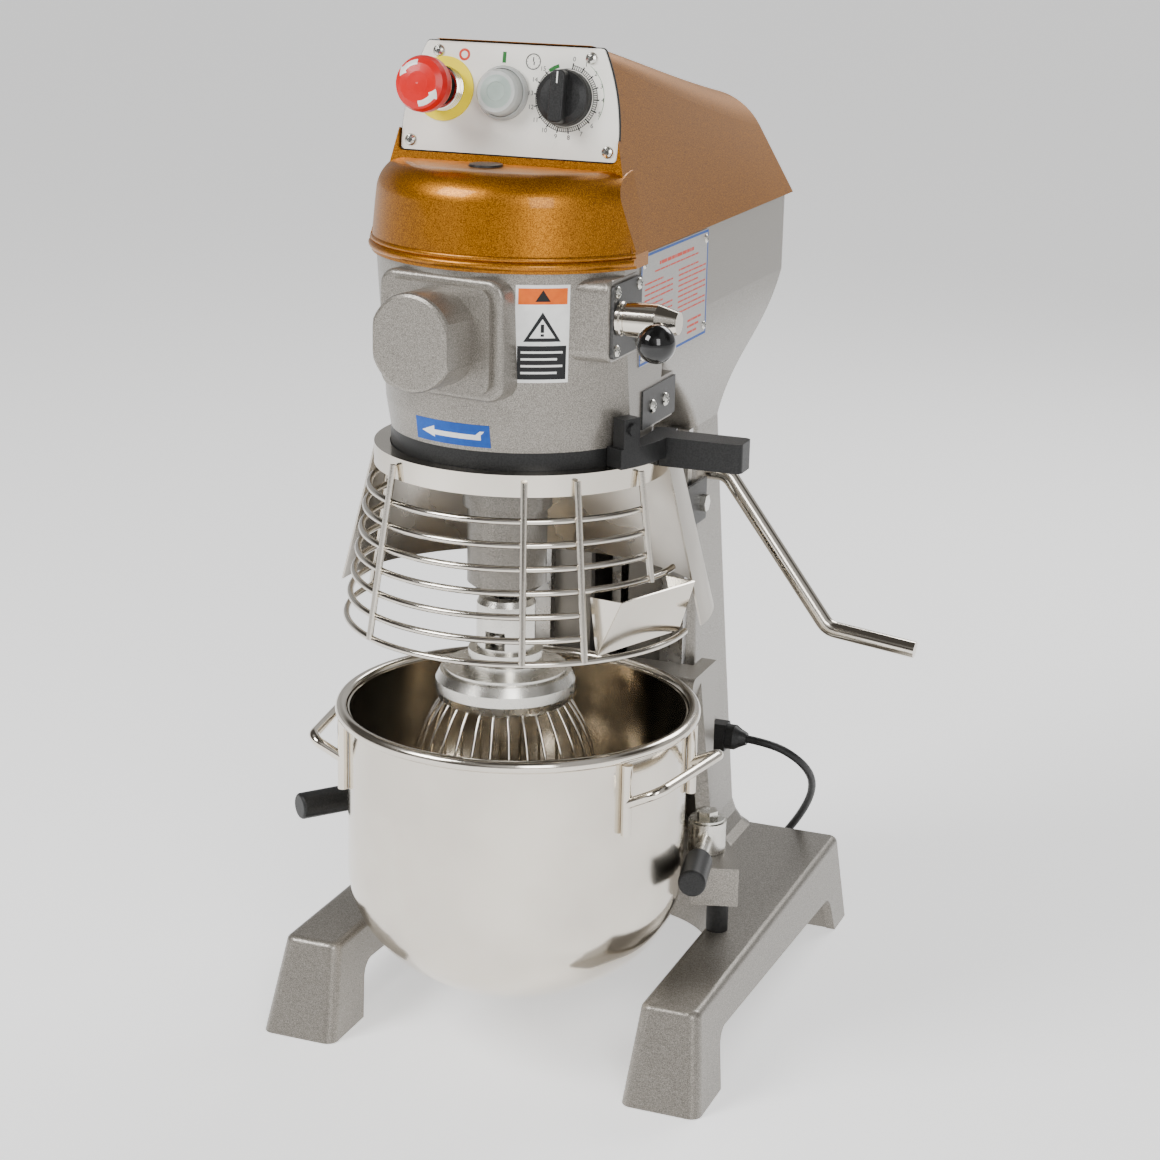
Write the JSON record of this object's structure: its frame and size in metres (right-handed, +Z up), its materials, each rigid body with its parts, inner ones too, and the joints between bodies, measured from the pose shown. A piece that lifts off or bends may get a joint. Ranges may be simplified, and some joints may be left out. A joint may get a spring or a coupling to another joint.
{
  "type": "commercial stand mixer",
  "caption": "Bench planetary mixer: cast stand, geared head with hood and controls, whisk, lifting bowl with clamps, swinging wire guard, lift lever and mains lead.",
  "frame": {"origin": "bench level, at the centre of the four foot-bolt holes", "axes": "+Z up, the mixing axis and controls are towards -Y, +X is the lift lever side"},
  "size_m": [0.4628, 0.6307, 0.7928],
  "materials": {
    "hammer_grey": "hammered silver-grey enamel, semi-gloss",
    "gold_metallic": "gold metallic flake enamel, high gloss",
    "polished_stainless": "polished stainless steel, faint brushing",
    "bright_wire": "electropolished wire",
    "brushed_sheet": "brushed stainless sheet",
    "machined_steel": "machined, oiled",
    "zinc_hardware": "zinc plated",
    "cast_aluminium": "cast and turned, satin",
    "black_matte": "moulded, fine texture",
    "black_gloss": "polished phenolic",
    "black_steel": "black powder coat",
    "white_panel": "printed polycarbonate face",
    "red_button": "moulded, gloss",
    "yellow_disc": "moulded disc",
    "clear_boot": "translucent silicone",
    "button_grey": "moulded cap",
    "dark_rubber": "moulded rubber",
    "anodised_plate": "brushed etched plate",
    "bronze_bearing": "ground bearing steel",
    "cord_pvc": "flexible black sheath"
  },
  "bodies": {
    "stand": {"base_casting": "hammer_grey", "body_casting": "hammer_grey", "hex_bolts": "zinc_hardware", "hub_cover": "hammer_grey", "hood": "gold_metallic", "hood_plug": "black_matte", "nameplate": "anodised_plate", "control_panel": "white_panel", "panel_gasket": "dark_rubber", "dome_screws": "zinc_hardware", "stop_disc": "yellow_disc", "switch_blocks": "black_matte", "motor": "black_steel", "v_belt": "dark_rubber", "gearbox_plate": "cast_aluminium", "bearings": "bronze_bearing", "ring_gear": "machined_steel", "gear_shift_plate": "black_steel", "guard_bearing_ring": "black_matte", "rear_shield": "brushed_sheet", "guard_brackets": "black_steel", "column_ways": "machined_steel", "bumpers": "dark_rubber", "cable_gland": "black_matte", "cord_tube": "cord_pvc", "cord_coil": "cord_pvc", "plug": "dark_rubber"},
    "stop_plunger": {"stop_stem": "black_matte"},
    "stop_mushroom": {"stop_head": "red_button"},
    "start_button": {"start_cap": "button_grey", "start_boot": "clear_boot"},
    "timer": {"timer_knob": "black_matte"},
    "motor_rotor": {"motor_pulley": "machined_steel"},
    "input": {"input_pulley": "machined_steel", "input_shaft": "machined_steel"},
    "planetary": {"planet_carrier": "hammer_grey", "main_gear": "machined_steel", "main_shaft": "machined_steel"},
    "agitator": {"planet_pinion": "machined_steel", "agitator_shaft": "machined_steel", "whisk_socket": "cast_aluminium", "whisk_ring": "cast_aluminium", "whisk_wires": "bright_wire"},
    "gear_shift": {"gear_shift_hub": "polished_stainless", "gear_shift_knob": "black_gloss"},
    "guard": {"guard_band": "polished_stainless", "guard_wires": "bright_wire", "guard_chute": "polished_stainless", "guard_handle": "black_matte"},
    "bowl_carriage": {"cradle": "hammer_grey", "cradle_pins": "zinc_hardware", "lift_link": "machined_steel", "bowl": "polished_stainless", "bowl_fittings": "polished_stainless"},
    "clamp_right": {"clamp_right_lever": "cast_aluminium", "clamp_right_grip": "black_matte"},
    "clamp_left": {"clamp_left_lever": "cast_aluminium", "clamp_left_grip": "black_matte"},
    "lift_handle": {"lift_lever": "polished_stainless", "lift_crank": "machined_steel"}
  },
  "joints": [
    {"name": "stop_push", "type": "slide", "parent": "stand", "child": "stop_plunger", "axis": [0, -0.9864, 0.1644], "range_m": [-0.005, 0], "stiffness_N_per_m": 800},
    {"name": "stop_twist", "type": "hinge", "parent": "stop_plunger", "child": "stop_mushroom", "pos_m": [-0.053, -0.19851, 0.76386], "axis": [0, -0.9864, 0.1644], "range_deg": [-45, 0], "stiffness_Nm_per_rad": 0.05},
    {"name": "start_push", "type": "slide", "parent": "stand", "child": "start_button", "axis": [0, -0.9864, 0.1644], "range_m": [-0.0025, 0], "stiffness_N_per_m": 600},
    {"name": "timer_turn", "type": "hinge", "parent": "stand", "child": "timer", "pos_m": [0.0425, -0.16925, 0.75695], "axis": [0, -0.9864, 0.1644], "range_deg": [-330, 0]},
    {"name": "planetary_spin", "type": "hinge", "parent": "stand", "child": "planetary", "pos_m": [0, -0.13, 0.48], "axis": [0, 0, 1], "continuous": true},
    {"name": "agitator_spin", "type": "hinge", "parent": "planetary", "child": "agitator", "pos_m": [0.00743, -0.17438, 0.4], "axis": [0, 0, 1], "continuous": true},
    {"name": "input_spin", "type": "hinge", "parent": "stand", "child": "input", "pos_m": [0, -0.0675, 0.6], "axis": [0, 0, 1], "continuous": true},
    {"name": "motor_spin", "type": "hinge", "parent": "stand", "child": "motor_rotor", "pos_m": [0, 0.118, 0.67], "axis": [0, 0, 1], "continuous": true},
    {"name": "gear_shift_turn", "type": "hinge", "parent": "stand", "child": "gear_shift", "pos_m": [0.12, -0.1975, 0.608], "axis": [1, 0, 0], "range_deg": [-28, 28]},
    {"name": "guard_swing", "type": "hinge", "parent": "stand", "child": "guard", "pos_m": [0, -0.13, 0.49], "axis": [0, 0, 1], "range_deg": [-105, 0]},
    {"name": "bowl_lift", "type": "slide", "parent": "stand", "child": "bowl_carriage", "axis": [0, 0, 1], "range_m": [0, 0.066]},
    {"name": "clamp_right_turn", "type": "hinge", "parent": "bowl_carriage", "child": "clamp_right", "pos_m": [0.132, -0.046, 0.163], "axis": [0, 0, 1], "range_deg": [0, 80]},
    {"name": "clamp_left_turn", "type": "hinge", "parent": "bowl_carriage", "child": "clamp_left", "pos_m": [-0.132, -0.046, 0.163], "axis": [0, 0, -1], "range_deg": [-26, 54]},
    {"name": "lift_turn", "type": "hinge", "parent": "stand", "child": "lift_handle", "pos_m": [0.05, 0.105, 0.426], "axis": [-1, 0, 0], "range_deg": [0, 150]}
  ],
  "couplings": [
    {"joint": "agitator_spin", "follows": "planetary_spin", "ratio": -3.25},
    {"joint": "input_spin", "follows": "planetary_spin", "ratio": -2.5714},
    {"joint": "motor_spin", "follows": "planetary_spin", "ratio": -5.1429},
    {"joint": "lift_turn", "follows": "bowl_lift", "rad_per_m": 39.66}
  ]
}
